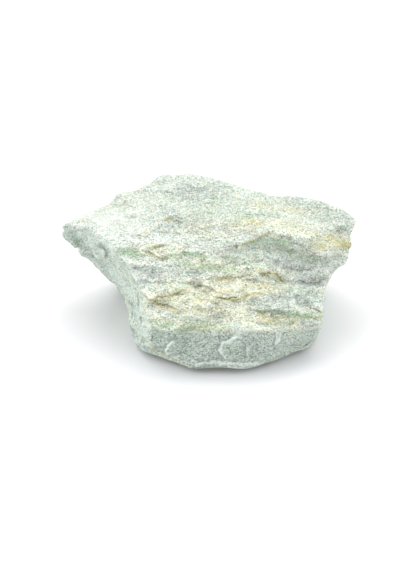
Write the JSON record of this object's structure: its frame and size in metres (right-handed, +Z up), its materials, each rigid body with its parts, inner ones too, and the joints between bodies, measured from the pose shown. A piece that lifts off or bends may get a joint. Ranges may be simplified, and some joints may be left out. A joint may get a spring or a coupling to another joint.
{
  "type": "rough fuchsite stone",
  "caption": "Rough green and white fuchsite rock chunk with broken ledges, an overhanging pointed end and a low broken front face, lying on its flattest break",
  "frame": {"origin": "middle of the bounding box in X and Y, on the plane the stone rests on", "axes": "+X runs along the stone's length from its thin pointed end to its blunt end, +Y from the low broken front face to the high back, +Z straight up from the resting face"},
  "size_m": [0.0878, 0.0534, 0.0381],
  "materials": {
    "fuchsite": "matte, fine sugary grain with small mica glints"
  },
  "bodies": {
    "root": {"stone": "fuchsite"}
  },
  "joints": []
}
